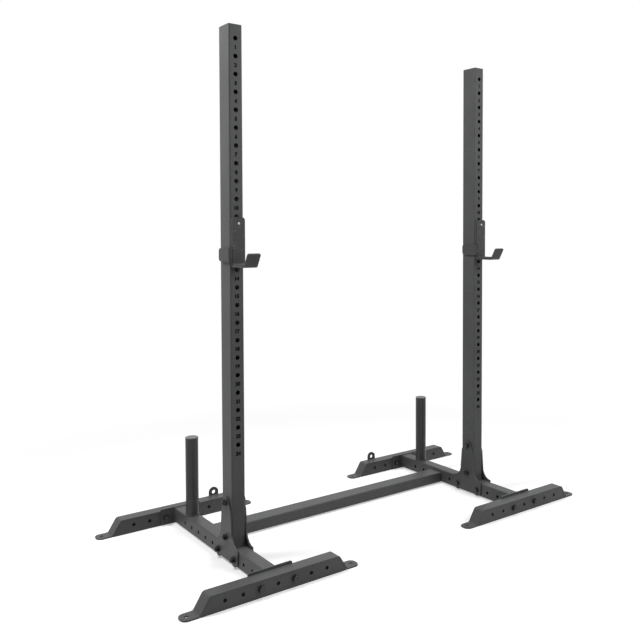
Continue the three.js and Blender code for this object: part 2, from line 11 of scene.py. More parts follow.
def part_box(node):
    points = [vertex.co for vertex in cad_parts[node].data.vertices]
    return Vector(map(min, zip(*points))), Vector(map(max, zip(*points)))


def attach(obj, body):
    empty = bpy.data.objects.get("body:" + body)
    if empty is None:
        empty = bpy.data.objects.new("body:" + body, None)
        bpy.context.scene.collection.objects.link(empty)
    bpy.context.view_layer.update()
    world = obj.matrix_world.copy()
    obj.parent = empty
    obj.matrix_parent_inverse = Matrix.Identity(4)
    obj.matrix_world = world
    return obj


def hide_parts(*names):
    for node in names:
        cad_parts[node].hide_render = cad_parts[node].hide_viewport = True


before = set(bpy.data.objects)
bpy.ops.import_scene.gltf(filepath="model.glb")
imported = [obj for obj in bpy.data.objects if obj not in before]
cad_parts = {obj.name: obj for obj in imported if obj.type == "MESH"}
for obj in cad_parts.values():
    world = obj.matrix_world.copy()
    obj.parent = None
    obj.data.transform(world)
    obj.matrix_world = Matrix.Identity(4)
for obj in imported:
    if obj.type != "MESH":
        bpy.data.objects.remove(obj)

bl_info = {
    "name": "Squat stand",
    "version": (1, 0, 0),
    "blender": (4, 5, 0),
    "location": "View3D > Sidebar > Squat stand",
    "description": "Builds the finished surfaces of a squat stand on its packed frame",
    "category": "Object",
}

SIDES = ("left", "right")
ENDS = ("front", "rear")
X_AXIS = Vector((1, 0, 0))
Y_AXIS = Vector((0, 1, 0))
Z_AXIS = Vector((0, 0, 1))
# A bead with more than this share of its way along Z counts as upright
STEEP = 0.9


def length(label, words, metres):
    """A length property in metres."""
    return FloatProperty(name=label, description=words, default=metres, unit="LENGTH", precision=5)


def angle(label, words, degrees):
    """An angle property, given in degrees."""
    return FloatProperty(name=label, description=words, default=math.radians(degrees), unit="ROTATION")


def plain(label, words, value):
    """A property with no unit."""
    return FloatProperty(name=label, description=words, default=value)


def whole(label, words, value):
    """A whole number property."""
    return IntProperty(name=label, description=words, default=value)


def colour(label, words, value):
    """A linear colour property."""
    return FloatVectorProperty(name=label, description=words, default=value, size=3, subtype="COLOR")


class StandSizes(PropertyGroup):
    """Sizes of the finished metalwork."""

    tube_wall: length("Tube wall", "Wall of the square tubes", 0.003)
    tube_corner: length("Tube corner", "Outer corner radius of the square tubes", 0.005)
    plug_wall: length("Plug wall", "Thickness of the lid and skirt of a post's plug", 0.003)
    hole_pitch: length("Hole pitch", "Distance between holes in the posts and rails", 0.060)
    top_hole_drop: length("Top hole drop", "First peg hole below the top of the post", 0.047)
    peg_hole_radius: length("Peg hole radius", "Radius of a peg hole", 0.008)
    peg_hole_count: whole("Peg holes", "Peg holes in each post", 24)
    bolt_hole_radius: length("Bolt hole radius", "Radius of a bolt hole", 0.0065)
    rail_hole_height: length("Rail hole height", "Height of the row of holes in a rail", 0.030)
    rail_hole_first: whole("First rail hole", "Pitches from the post's axis", -3)
    rail_hole_last: whole("Last rail hole", "Pitches from the post's axis", 6)
    foot_hole_pitch: length("Foot hole pitch", "Distance between the holes of a foot", 0.061)
    foot_hole_half_count: whole("Foot holes", "Holes on each side of the middle", 3)
    foot_hole_height: length("Foot hole height", "Height of the row of holes in a foot", 0.029)
    foot_top_half: length("Foot top half", "Half length of the foot's flat top", 0.230)
    foot_base_half: length("Foot base half", "Half length of the foot between its floor tabs", 0.262)
    foot_tab_hole: length("Foot tab hole", "Distance of a tab's hole from the middle", 0.296)
    foot_tab_corner: length("Foot tab corner", "Corner radius of a floor tab", 0.020)
    foot_plate: length("Foot plate", "Thickness of a foot's side plate", 0.005)
    strap: length("Strap", "Thickness of the foot's bent strap", 0.005)
    strap_bend: length("Strap bend", "Inner radius of the strap's bends", 0.008)
    gusset_neck_half: length("Gusset neck", "Half width of the gusset's blade", 0.034)
    gusset_neck_height: length("Gusset neck height", "Height where the blade is measured", 0.185)
    gusset_flare_half: length("Gusset flare", "Half width where the blade starts to flare", 0.040)
    gusset_flare_height: length("Gusset flare height", "Height where the blade starts to flare", 0.112)
    gusset_shoulder: length("Gusset shoulder", "Height of the gusset's straight foot", 0.066)
    gusset_web: length("Gusset web", "Height of the edge between the two lobes", 0.012)
    gusset_high_bolt: length("High bolt", "Height of the upper gusset bolt", 0.210)
    gusset_low_bolt: length("Low bolt", "Height of the lower gusset bolt", 0.090)
    gusset_top_start: angle("Gusset top", "Angle above level where the gusset's round top starts", 22)
    eye_hole_radius: length("Eye hole radius", "Radius of the hole in an eye plate", 0.008)
    lid_rounding: plain("Lid rounding", "Rounding of a storage plug's lid over the lid's height", 0.45)
    dish_rim: plain("Dish rim", "Rim of a storage plug's dish over the plug's radius", 0.62)
    dish_floor: plain("Dish floor", "Floor of a storage plug's dish over the plug's radius", 0.58)
    dish_depth: length("Dish depth", "Depth of a storage plug's dish", 0.0006)
    bevel: length("Edge", "Rounding of sheared and drilled edges", 0.0006)
    weld: length("Weld", "Radius of a weld bead", 0.0028)
    weld_ripple: length("Weld ripple", "Length of one ripple of a weld bead", 0.0032)
    weld_dip: plain("Weld dip", "How much thinner a bead is between its ripples", 0.20)
    seam: length("Seam", "Open line between two pieces that touch", 0.0003)


class CupSizes(PropertyGroup):
    """Sizes of a cup. Drops and the screw's rise are measured from the peg."""

    steel: length("Steel", "Thickness of the bent plate", 0.005)
    bend: length("Bend", "Inner radius of the cup's bends", 0.006)
    corner: length("Corner", "Radius of the upper corners of plate, liner and pad", 0.010)
    low_corner: length("Low corner", "Radius of the liner's front corners and the pad's lower ones", 0.0025)
    lip_corner: length("Lip corner", "Radius of the lip's upper corners", 0.006)
    lip_rise: length("Lip rise", "Height of the lip above the shelf's underside", 0.046)
    lip_flare: length("Lip flare", "How far the lip leans forward", 0.027)
    flange_top: length("Flange top", "Drop of the side flange's top", 0.047)
    flange_bottom: length("Flange bottom", "Drop of the side flange's underside", 0.092)
    flange_corner: length("Flange corner", "Radius of the flange's free corners", 0.012)
    plate_inset: length("Plate inset", "Width of the cup's plate outside its pad, each side", 0.001)
    screw_rise: length("Screw rise", "Height of the liner's screw above the peg", 0.037)
    screw_hole: length("Screw hole", "Radius of the hole for the liner's screw", 0.0029)
    screw_head: plain("Screw head", "Height of the screw's head over its radius", 0.55)
    screw_socket: plain("Screw socket", "Radius of the screw's socket over the head's", 0.42)
    screw_shank: plain("Screw shank", "Radius of the screw's shank over the head's", 0.5)
    socket_depth: plain("Socket depth", "Depth of the screw's socket over the head's height", 0.7)
    liner: length("Liner", "Thickness of the liner", 0.006)
    liner_bend: length("Liner bend", "Inner radius of the liner's bend", 0.002)
    liner_edge: length("Liner edge", "Rounding of the liner's edges", 0.0012)
    peg_edge: length("Peg edge", "Chamfer at the peg's front end", 0.001)
    peg_chamfer: length("Peg chamfer", "Chamfer at the peg's rear end", 0.002)


class FastenerSizes(PropertyGroup):
    """Sizes of the hexagon bolts."""

    across: length("Across flats", "Width of a head or nut across its flats", 0.019)
    head: length("Head", "Height of a bolt head", 0.0075)
    nut: length("Nut", "Height of a nut", 0.010)
    shank: length("Shank", "Diameter of the shank", 0.012)
    washer: length("Washer", "Thickness of a washer", 0.0025)
    washer_width: length("Washer width", "Diameter of a washer", 0.024)
    washer_edge: length("Washer edge", "Chamfer of a washer", 0.0005)
    crown: plain("Crown", "Flat circle of a head or nut over its width across flats", 0.95)
    chamfer: angle("Chamfer", "Slope of the cone over the points of a head or nut", 30)
    thread_pitch: length("Thread", "Pitch of the thread", 0.00175)
    thread_depth: length("Thread depth", "Depth of the thread", 0.0009)
    free_thread: length("Free thread", "Thread that stands out of a nut", 0.004)


class NumeralSizes(PropertyGroup):
    """Sizes of the height numbers below the peg holes."""

    height: length("Height", "Height of a numeral", 0.012)
    font_ratio: plain("Font ratio", "Font size over the height of its digits", 1.43)
    boldness: length("Boldness", "How far each stroke is thickened", 0.0013)
    relief: length("Relief", "How far a numeral stands out", 0.00015)


class StageSettings(PropertyGroup):
    """Camera, lights and floor."""

    camera: FloatVectorProperty(
        name="Camera",
        description="Place of the camera",
        default=(-1.7785, -2.5540, 1.1463),
        size=3,
        unit="LENGTH",
    )
    turn: angle("Turn", "Turn of the view from the rear towards the right", 38.69)
    dip: angle("Dip", "Dip of the view below the horizon", 1.96)
    lens: plain("Lens", "Focal length in millimetres on a 36 mm sensor", 43.734)
    shift_x: plain("Shift X", "Sideways shift of the view", -0.12997)
    shift_y: plain("Shift Y", "Upward shift of the view", -0.09826)
    floor_half: length("Floor", "Half width of the floor", 60.0)
    fade_start: length("Fade start", "Distance where the floor starts to fade to white", 1.1)
    fade_end: length("Fade end", "Distance where the floor is white", 2.2)
    lift: plain("Lift", "White added to the near floor", 0.38)
    floor_bounce: plain("Bounce", "Share of the floor's colour that diffuse rays meet", 0.5)
    ambient: plain("Ambient", "Strength of the even studio light", 0.15)
    left: plain("Left", "Power of the light above on the left, in watts", 46.0)
    top: plain("Top", "Power of the light above, in watts", 38.0)
    right: plain("Right", "Power of the light in front on the right, in watts", 19.0)
    front: plain("Front", "Power of the light in front, in watts", 28.0)


class LookSettings(PropertyGroup):
    """Base colours of the finishes."""

    coat: colour("Coat", "Charcoal powder coat", (0.082, 0.083, 0.085))
    cup_coat: colour("Cup coat", "Powder coat of the cups", (0.060, 0.061, 0.063))
    post_coat: colour("Post coat", "Black powder coat of the storage posts", (0.052, 0.052, 0.054))
    black_zinc: colour("Black zinc", "Bolts, nuts, washers and pegs", (0.018, 0.018, 0.019))
    bright_zinc: colour("Bright zinc", "Liner screws", (0.42, 0.43, 0.44))
    liner: colour("Liner", "Hard plastic liners", (0.030, 0.030, 0.031))
    plug: colour("Plug", "Plugs of the upright posts", (0.020, 0.020, 0.021))
    store_plug: colour("Storage plug", "Plugs of the storage posts", (0.16, 0.163, 0.167))
    numeral: colour("Numeral", "Height numbers", (0.005, 0.005, 0.005))
    floor: colour("Floor", "Studio floor", (0.90, 0.90, 0.90))


def sizes():
    return bpy.context.scene.stand_sizes


# Shader graphs

def math_node(kind, reflected=False):
    """One of Num's operators, which adds a Math node."""

    def operator(self, other):
        values = (other, self) if reflected else (self, other)
        made = self.graph.node("ShaderNodeMath", {"operation": kind}, dict(enumerate(values)))
        return Num(self.graph, made.outputs[0])

    return operator


class Num:
    """A number socket of a shader graph, with sums written as Python expressions."""

    def __init__(self, graph, socket):
        self.graph = graph
        self.socket = socket

    __add__ = math_node("ADD")
    __radd__ = math_node("ADD", reflected=True)
    __sub__ = math_node("SUBTRACT")
    __rsub__ = math_node("SUBTRACT", reflected=True)
    __mul__ = math_node("MULTIPLY")
    __rmul__ = math_node("MULTIPLY", reflected=True)
    __pow__ = math_node("POWER")
    __rpow__ = math_node("POWER", reflected=True)

    def between(self, low, high):
        """0 below low, 1 above high and smooth in between."""
        made = self.graph.node(
            "ShaderNodeMapRange",
            {"interpolation_type": "SMOOTHSTEP"},
            {0: self, 1: low, 2: high, 3: 0.0, 4: 1.0},
        )
        return Num(self.graph, made.outputs[0])


class Graph:
    """The nodes of a new material, or of the world that is given."""

    def __init__(self, name, owner=None):
        self.owner = owner or bpy.data.materials.new(name)
        self.owner.use_nodes = True
        self.tree = self.owner.node_tree
        self.tree.nodes.clear()
        self.coordinates = None

    def node(self, kind, settings=None, inputs=None):
        """Adds a node: its settings are set first, then the values or links of its sockets."""
        made = self.tree.nodes.new(kind)
        for key, value in (settings or {}).items():
            setattr(made, key, value)
        for key, value in (inputs or {}).items():
            socket = made.inputs[key]
            if isinstance(value, Num):
                self.tree.links.new(value.socket, socket)
            elif isinstance(value, bpy.types.NodeSocket):
                self.tree.links.new(value, socket)
            elif socket.type == "RGBA" and len(value) == 3:
                socket.default_value = (*value, 1.0)
            else:
                socket.default_value = value
        return made

    def place(self):
        if self.coordinates is None:
            self.coordinates = self.node("ShaderNodeTexCoord").outputs["Object"]
        return self.coordinates

    def stretched(self, scale):
        """Object coordinates scaled by a different number along each axis."""
        made = self.node("ShaderNodeVectorMath", {"operation": "MULTIPLY"}, {0: self.place(), 1: scale})
        return made.outputs[0]

    def noise(self, scale, detail=2.0, roughness=0.5, place=None):
        made = self.node(
            "ShaderNodeTexNoise",
            {},
            {"Vector": place or self.place(), "Scale": scale, "Detail": detail, "Roughness": roughness},
        )
        return Num(self, made.outputs[0])

    def cells(self, scale):
        made = self.node("ShaderNodeTexVoronoi", {"feature": "F1"}, {"Vector": self.place(), "Scale": scale})
        return Num(self, made.outputs["Distance"])

    def axis(self, name):
        made = self.node("ShaderNodeSeparateXYZ", {}, {0: self.place()})
        return Num(self, made.outputs[name])

    def blend(self, share, first, second):
        made = self.node("ShaderNodeMix", {"data_type": "RGBA"}, {0: share, 6: first, 7: second})
        return made.outputs[2]

    def bump(self, height, depth, strength):
        inputs = {"Height": height, "Distance": depth, "Strength": strength}
        return self.node("ShaderNodeBump", {}, inputs).outputs[0]

    def mix_shaders(self, share, first, second):
        inputs = {0: share, 1: first.outputs[0], 2: second.outputs[0]}
        return self.node("ShaderNodeMixShader", {}, inputs)

    def finish(self, inputs):
        shader = self.node("ShaderNodeBsdfPrincipled", {}, inputs)
        self.node("ShaderNodeOutputMaterial", {}, {"Surface": shader.outputs[0]})
        return self.owner


def shade(value, factor):
    """A colour made lighter or darker."""
    return tuple(channel * factor for channel in value)


def powder_coat(name, base, low_rough, relief):
    """Satin powder coat: fine orange peel, small pits, uneven gloss and a little dust."""
    graph = Graph(name)
    cloud = graph.noise(7.0, 3.0, 0.55)
    peel = graph.noise(520.0, 2.0, 0.6)
    grain = graph.noise(2300.0, 1.0, 0.5)
    pit = 1.0 - graph.cells(900.0).between(0.05, 0.22)
    sparse = graph.noise(60.0, 2.0, 0.5).between(0.60, 0.70)
    dust = graph.noise(24.0, 4.0, 0.65).between(0.52, 0.80)
    tone = (0.35 * cloud + 0.35 * peel + 0.30 * grain).between(0.30, 0.70)
    body = graph.blend(tone, shade(base, 0.74), shade(base, 1.26))
    dusty = graph.blend(dust * 0.14, body, shade(base, 2.4))
    rough = low_rough + 0.10 * cloud + 0.08 * grain + 0.06 * dust
    height = 0.7 * peel + 0.2 * grain - 0.5 * pit * sparse
    return graph.finish({
        "Base Color": dusty,
        "Roughness": rough,
        "Metallic": 0.0,
        "Specular IOR Level": 0.24,
        "Coat Weight": 0.05,
        "Coat Roughness": 0.30,
        "Normal": graph.bump(height, 0.00012, relief),
    })


def zinc(name, base, low_rough, metal):
    """Plated steel: blotchy passivation, fine grain and tool marks."""
    graph = Graph(name)
    blotch = graph.noise(140.0, 3.0, 0.6)
    fine = graph.noise(1800.0, 2.0, 0.5)
    lines = graph.noise(300.0, 2.0, 0.5, graph.stretched((1.0, 12.0, 1.0)))
    tint = graph.blend(blotch.between(0.3, 0.7), shade(base, 0.70), shade(base, 1.45))
    return graph.finish({
        "Base Color": tint,
        "Roughness": low_rough + 0.16 * blotch + 0.08 * fine,
        "Metallic": metal,
        "Normal": graph.bump(0.6 * fine + 0.4 * lines, 0.00006, 0.5),
    })


def hard_plastic(name, base, rub):
    """Moulded plastic: fine spark grain, with polished rub marks where rub is above zero."""
    graph = Graph(name)
    grain = graph.noise(1500.0, 3.0, 0.6)
    cloud = graph.noise(30.0, 2.0, 0.5)
    scuff = graph.noise(160.0, 3.0, 0.6, graph.stretched((0.25, 1.0, 1.0))).between(0.56, 0.72)
    body = graph.blend(cloud, shade(base, 0.85), shade(base, 1.2))
    return graph.finish({
        "Base Color": graph.blend(scuff * rub, body, shade(base, 2.6)),
        "Roughness": 0.55 + 0.12 * grain - 0.18 * rub * scuff,
        "Metallic": 0.0,
        "Normal": graph.bump(grain, 0.00008, 0.6),
    })


def dark_mark(name, base):
    """Dark mark with a slightly uneven tone."""
    graph = Graph(name)
    speck = graph.noise(900.0, 2.0, 0.6)
    return graph.finish({
        "Base Color": graph.blend(speck, shade(base, 0.7), shade(base, 1.8)),
        "Roughness": 0.75 + 0.2 * speck,
        "Metallic": 0.0,
        "Specular IOR Level": 0.1,
    })


def shown_rays(graph):
    """1 for the rays that show the background: camera, glossy and transmission rays."""
    path = graph.node("ShaderNodeLightPath")
    camera, glossy, through = (
        Num(graph, path.outputs[name]) for name in ("Is Camera Ray", "Is Glossy Ray", "Is Transmission Ray")
    )
    return camera + glossy + through


def studio_floor(name, base):
    """Plain pale floor that takes the shadow close by and fades to white further out.
    Diffuse rays meet a duller floor, so that little light comes back up."""
    graph = Graph(name)
    stage = bpy.context.scene.stage_settings
    cloud = graph.noise(1.2, 2.0, 0.5)
    tint = graph.blend(cloud, shade(base, 0.99), base)
    out = (graph.axis("X") ** 2 + graph.axis("Y") ** 2) ** 0.5
    faded = out.between(stage.fade_start, stage.fade_end)
    pale = graph.node("ShaderNodeBsdfDiffuse", {}, {"Color": tint})
    glow = graph.node("ShaderNodeEmission", {}, {"Color": (1, 1, 1), "Strength": stage.lift})
    white = graph.node("ShaderNodeEmission", {}, {"Color": (1, 1, 1), "Strength": 1.0})
    dull = graph.node("ShaderNodeBsdfDiffuse", {}, {"Color": shade(base, stage.floor_bounce)})
    near = graph.node("ShaderNodeAddShader", {}, {0: pale.outputs[0], 1: glow.outputs[0]})
    mixed = graph.mix_shaders(shown_rays(graph), dull, graph.mix_shaders(faded, near, white))
    graph.node("ShaderNodeOutputMaterial", {}, {"Surface": mixed.outputs[0]})
    return graph.owner


FINISHES = {
    "powder_coat": (powder_coat, "coat", {"low_rough": 0.38, "relief": 0.75}),
    "cup_coat": (powder_coat, "cup_coat", {"low_rough": 0.38, "relief": 0.55}),
    "post_coat": (powder_coat, "post_coat", {"low_rough": 0.24, "relief": 0.30}),
    "black_zinc": (zinc, "black_zinc", {"low_rough": 0.12, "metal": 0.25}),
    "bright_zinc": (zinc, "bright_zinc", {"low_rough": 0.20, "metal": 0.85}),
    "liner": (hard_plastic, "liner", {"rub": 1.0}),
    "cap_plastic": (hard_plastic, "plug", {"rub": 0.0}),
    "store_cap": (hard_plastic, "store_plug", {"rub": 0.2}),
    "numeral": (dark_mark, "numeral", {}),
    "floor": (studio_floor, "floor", {}),
}


def material(slot):
    """The finish of one material slot, made once."""
    name = f"{slot}_finish"
    maker, base, values = FINISHES[slot]
    colours = bpy.context.scene.look_settings
    return bpy.data.materials.get(name) or maker(name, getattr(colours, base), **values)


# Outlines in two directions

def arc(centre, radius, start, stop, facets):
    """Points of an arc between two angles in degrees."""
    points = []
    for step in range(facets + 1):
        turn = math.radians(start + (stop - start) * step / facets)
        points.append((centre[0] + radius * math.cos(turn), centre[1] + radius * math.sin(turn)))
    return points


def circle(centre, radius, facets=40):
    return arc(centre, radius, 0, 360, facets)[:-1]


def rectangle(low, high, corners=(0, 0, 0, 0), facets=8):
    """Rectangle with its own radius at each corner, anticlockwise from the upper right one."""
    places = ((high[0], high[1]), (low[0], high[1]), (low[0], low[1]), (high[0], low[1]))
    inward = ((-1, -1), (1, -1), (1, 1), (-1, 1))
    points = []
    for index, (corner, sign, radius) in enumerate(zip(places, inward, corners)):
        if radius <= 0:
            points.append(corner)
            continue
        centre = (corner[0] + sign[0] * radius, corner[1] + sign[1] * radius)
        points += arc(centre, radius, 90 * index, 90 * (index + 1), facets)
    return points


def fillet(before, corner, after, radius, facets):
    """Points of an arc that rounds a corner between two straight edges."""
    at = Vector(corner)
    first = (Vector(before) - at).normalized()
    second = (Vector(after) - at).normalized()
    half = first.angle(second) / 2
    centre = at + (first + second).normalized() * radius / math.sin(half)
    start = at + first * radius / math.tan(half) - centre
    turn = math.pi - 2 * half
    spin = 1 if first.x * second.y - first.y * second.x < 0 else -1
    points = []
    for step in range(facets + 1):
        spot = centre + Matrix.Rotation(spin * turn * step / facets, 2) @ start
        points.append((spot.x, spot.y))
    return points


# Places of the frame

class NodeBox:
    """Lowest corner, highest corner, middle and size of a node."""

    def __init__(self, node):
        self.low, self.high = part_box(node)
        self.middle = (self.low + self.high) / 2
        self.size = self.high - self.low


def frame_matrix(origin, across, up):
    """Local X runs across and local Z up, from an origin."""
    turn = Matrix((across, up.cross(across), up)).transposed().to_4x4()
    return Matrix.Translation(origin) @ turn


def facing_front(x, y):
    """Local X to the right, Y up and Z to the front, from a place on the floor."""
    return frame_matrix(Vector((x, y, 0)), X_AXIS, -Y_AXIS)


def facing_right(x, y, z=0):
    """Local X to the rear, Y up and Z to the right, from a place."""
    return frame_matrix(Vector((x, y, z)), Y_AXIS, X_AXIS)


def facing_rear(x, y, z):
    """Local X to the right, Y down and Z to the rear, from a place."""
    return frame_matrix(Vector((x, y, z)), X_AXIS, Y_AXIS)


# Mesh builders

def plate(mesh, loops, matrix, thickness, joined=None):
    """Flat plate in the matrix's XY plane, thick along its Z. loops[0] is the outline and the
    others are holes. joined says which stretches of the outline meet another piece and get no wall."""
    flat = [point for loop in loops for point in loop]
    lower = [mesh.verts.new(matrix @ Vector((*point, 0))) for point in flat]
    upper = [mesh.verts.new(matrix @ Vector((*point, thickness))) for point in flat]
    for face in tessellate_polygon([[Vector((*point, 0)) for point in loop] for loop in loops]):
        mesh.faces.new([lower[i] for i in face])
        mesh.faces.new([upper[i] for i in reversed(face)])
    start = 0
    for loop in loops:
        count = len(loop)
        for i in range(count):
            j = (i + 1) % count
            if joined and joined(loop[i], loop[j]):
                continue
            a, b = start + i, start + j
            mesh.faces.new((lower[a], lower[b], upper[b], upper[a]))
        start += count


def strip(mesh, first, second):
    """Row of faces between two lines of vertices."""
    for a, b, c, d in zip(first, first[1:], second[1:], second):
        mesh.faces.new((a, b, c, d))


def bent_prism(mesh, lines):
    """Faces round a prism whose four edges are lines of vertices."""
    for first, second in ((0, 1), (2, 3), (0, 2), (1, 3)):
        strip(mesh, lines[first], lines[second])


def skin(mesh, rings, closed):
    """Faces between rings of vertices. The last ring meets the first, or both ends are capped."""
    if closed:
        rings = [*rings, rings[0]]
    else:
        mesh.faces.new(rings[0])
        mesh.faces.new(rings[-1])
    for first, second in zip(rings, rings[1:]):
        strip(mesh, first + first[:1], second + second[:1])


def square_tube(mesh, matrix, width, height, start, stop, holes=()):
    """Tube along the matrix's Z. holes lists (side, across, along, radius), with the sides
    numbered +Y, -X, -Y and +X of the matrix."""
    corner = sizes().tube_corner
    wall = sizes().tube_wall
    for side in range(4):
        turned = matrix @ Matrix.Rotation(side * math.pi / 2, 4, "Z")
        half_flat = (width if side % 2 == 0 else height) / 2 - corner
        reach = (height if side % 2 == 0 else width) / 2
        panel = turned @ Matrix.Translation((0, reach, 0)) @ Matrix.Rotation(math.pi / 2, 4, "X")
        loops = [rectangle((-half_flat, start), (half_flat, stop))]
        loops += [circle((across, along), radius) for at, across, along, radius in holes if at == side]
        plate(mesh, loops, panel, wall, lambda a, b: abs(a[0]) == half_flat and a[0] == b[0])
        lines = []
        for radius in (corner, corner - wall):
            bend = arc((-half_flat, reach - corner), radius, 90, 180, facets=6)
            for level in (start, stop):
                lines.append([mesh.verts.new(turned @ Vector((u, v, level))) for u, v in bend])
        bent_prism(mesh, lines)


def folded_sheet(mesh, line, across, half_width, thickness, bend, holes=(), end_corners=(0, 0), facets=8):
    """Sheet folded along a line of points, with its thickness on the side of line x across.
    holes lists (panel, along, sideways, radius); end_corners rounds its two free ends."""
    points = [Vector(point) for point in line]
    ways = [(b - a).normalized() for a, b in zip(points, points[1:])]
    sides = [way.cross(across) for way in ways]
    last = len(ways) - 1
    folds = []
    trims = [0.0]
    for before, after, side in zip(ways, ways[1:], sides):
        turn = before.angle(after)
        reach = thickness + bend if side.dot(after) > 0 else -bend
        folds.append((turn, reach))
        trims.append(abs(reach) * math.tan(turn / 2))
    trims.append(0.0)
    for i, (point, way, side) in enumerate(zip(points, ways, sides)):
        start = trims[i]
        stop = (points[i + 1] - point).length - trims[i + 1]
        folded = ([start] if i > 0 else []) + ([stop] if i < last else [])
        low_corner = end_corners[0] if i == 0 else 0
        high_corner = end_corners[1] if i == last else 0
        corners = (high_corner, low_corner, low_corner, high_corner)
        loops = [rectangle((start, -half_width), (stop, half_width), corners, facets * 2)]
        loops += [circle((along, sideways), radius) for at, along, sideways, radius in holes if at == i]
        panel = frame_matrix(point, way, side)
        plate(mesh, loops, panel, thickness, lambda a, b: a[0] == b[0] and a[0] in folded)
    for i, (turn, reach) in enumerate(folds, start=1):
        side = sides[i - 1]
        centre = points[i] - ways[i - 1] * trims[i] + side * reach
        spin = ways[i - 1].cross(ways[i]).normalized()
        turned = [Matrix.Rotation(turn * step / facets, 3, spin) @ side for step in range(facets + 1)]
        lines = []
        for depth in (0.0, thickness):
            for sideways in (-half_width, half_width):
                edge = centre + across * sideways
                lines.append([mesh.verts.new(edge + arm * (depth - reach)) for arm in turned])
        bent_prism(mesh, lines)


def lathe(mesh, matrix, profile, facets=48):
    """Turned shape round the matrix's Z. profile lists (radius, height)."""
    rings = []
    for radius, height in profile:
        outline = circle((0, 0), radius, facets) if radius > 0 else [(0, 0)]
        ring = [mesh.verts.new(matrix @ Vector((x, y, height))) for x, y in outline]
        rings.append(ring * (facets // len(ring)))
    for first, second in zip(rings, rings[1:]):
        for i in range(facets):
            j = (i + 1) % facets
            corners = list(dict.fromkeys((first[i], first[j], second[j], second[i])))
            if len(corners) > 2:
                mesh.faces.new(corners)


def hexagon(mesh, matrix, inner, outer, bore=0.0, facets=48):
    """Hexagon between two heights along the matrix's Z, with a cone cut over its points at
    the outer one."""
    f = bpy.context.scene.fastener_sizes
    apothem = f.across / 2
    crown = apothem * f.crown
    slope = math.copysign(math.tan(f.chamfer), inner - outer)
    outline = []
    for step in range(facets):
        turn = 2 * math.pi * step / facets
        outline.append((turn, apothem / math.cos(turn % (math.pi / 3) - math.pi / 6)))

    def ring(height, radius=0.0, lean=0.0):
        made = []
        for turn, reach in outline:
            size = radius or reach
            spot = Vector((size * math.cos(turn), size * math.sin(turn), height + lean * (reach - crown)))
            made.append(mesh.verts.new(matrix @ spot))
        return made

    rings = [ring(inner), ring(outer, lean=slope), ring(outer, crown)]
    if bore:
        rings = [ring(inner, bore), *rings, ring(outer, bore)]
    skin(mesh, rings, closed=bore > 0)


def bead(mesh, path, closed=False, facets=10, ripple_stations=4):
    """Weld bead: a rippled cord of metal laid along a path."""
    s = sizes()
    points = [Vector(point) for point in path]
    if closed:
        points.append(points[0].copy())
    spacing = s.weld_ripple / ripple_stations
    stations = []
    travelled = 0.0
    for a, b in zip(points, points[1:]):
        span = (b - a).length
        way = (b - a).normalized()
        count = max(1, round(span / spacing))
        for step in range(count):
            share = step / count
            stations.append((a.lerp(b, share), way, travelled + span * share))
        travelled += span
    if not closed:
        stations.append((points[-1], way, travelled))
    rings = []
    for place, way, run in stations:
        swell = abs(math.sin(math.pi * run / s.weld_ripple))
        size = s.weld * (1 - s.weld_dip * (1 - swell))
        u = way.cross(Z_AXIS if abs(way.z) < STEEP else X_AXIS).normalized()
        v = way.cross(u)
        rings.append([mesh.verts.new(place + u * x + v * y) for x, y in circle((0, 0), size, facets)])
    skin(mesh, rings, closed)


def show(name, data):
    """Puts an object with the given data in the scene."""
    made = bpy.data.objects.new(name, data)
    bpy.context.scene.collection.objects.link(made)
    return made


def add_piece(
    name, mesh, node=None, slot="powder_coat", body="stand", bevel=0.0, segments=2, sharp=35, finish=None
):
    """Turns a mesh under construction into a finished piece that rides on a body and takes a
    node's place. The finish is the slot's own unless it is named; sharp is in degrees."""
    bmesh.ops.remove_doubles(mesh, verts=mesh.verts, dist=1e-6)
    bmesh.ops.recalc_face_normals(mesh, faces=mesh.faces)
    data = bpy.data.meshes.new(name)
    mesh.to_mesh(data)
    mesh.free()
    data.shade_smooth()
    data.set_sharp_from_angle(angle=math.radians(sharp))
    data.materials.append(material(finish or slot))
    piece = show(name, data)
    if bevel > 0:
        edge = piece.modifiers.new("edge", "BEVEL")
        edge.width = bevel
        edge.segments = segments
        edge.limit_method = "ANGLE"
        edge.angle_limit = math.radians(sharp)
        edge.use_clamp_overlap = True
        normals = piece.modifiers.new("normals", "WEIGHTED_NORMAL")
        normals.keep_sharp = True
    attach(piece, body)
    if node:
        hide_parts(node)


# Posts, rails and cross tube

def peg_heights(top):
    s = sizes()
    return [top - s.top_hole_drop - index * s.hole_pitch for index in range(s.peg_hole_count)]


def build_upright(side):
    s = sizes()
    post = NodeBox(f"{side}_upright")
    # Peg holes go through the front and rear walls, bolt holes through the other two
    holes = []
    for face in (0, 2):
        holes += [(face, 0.0, height, s.peg_hole_radius) for height in peg_heights(post.high.z)]
    bolts = (s.gusset_high_bolt, s.gusset_low_bolt)
    for face in (1, 3):
        holes += [(face, 0.0, height, s.bolt_hole_radius) for height in bolts]
    matrix = Matrix.Translation((post.middle.x, post.middle.y, 0))
    mesh = bmesh.new()
    square_tube(mesh, matrix, post.size.x, post.size.y, post.low.z, post.high.z, holes)
    add_piece(f"upright_{side}", mesh, f"{side}_upright", bevel=s.bevel)


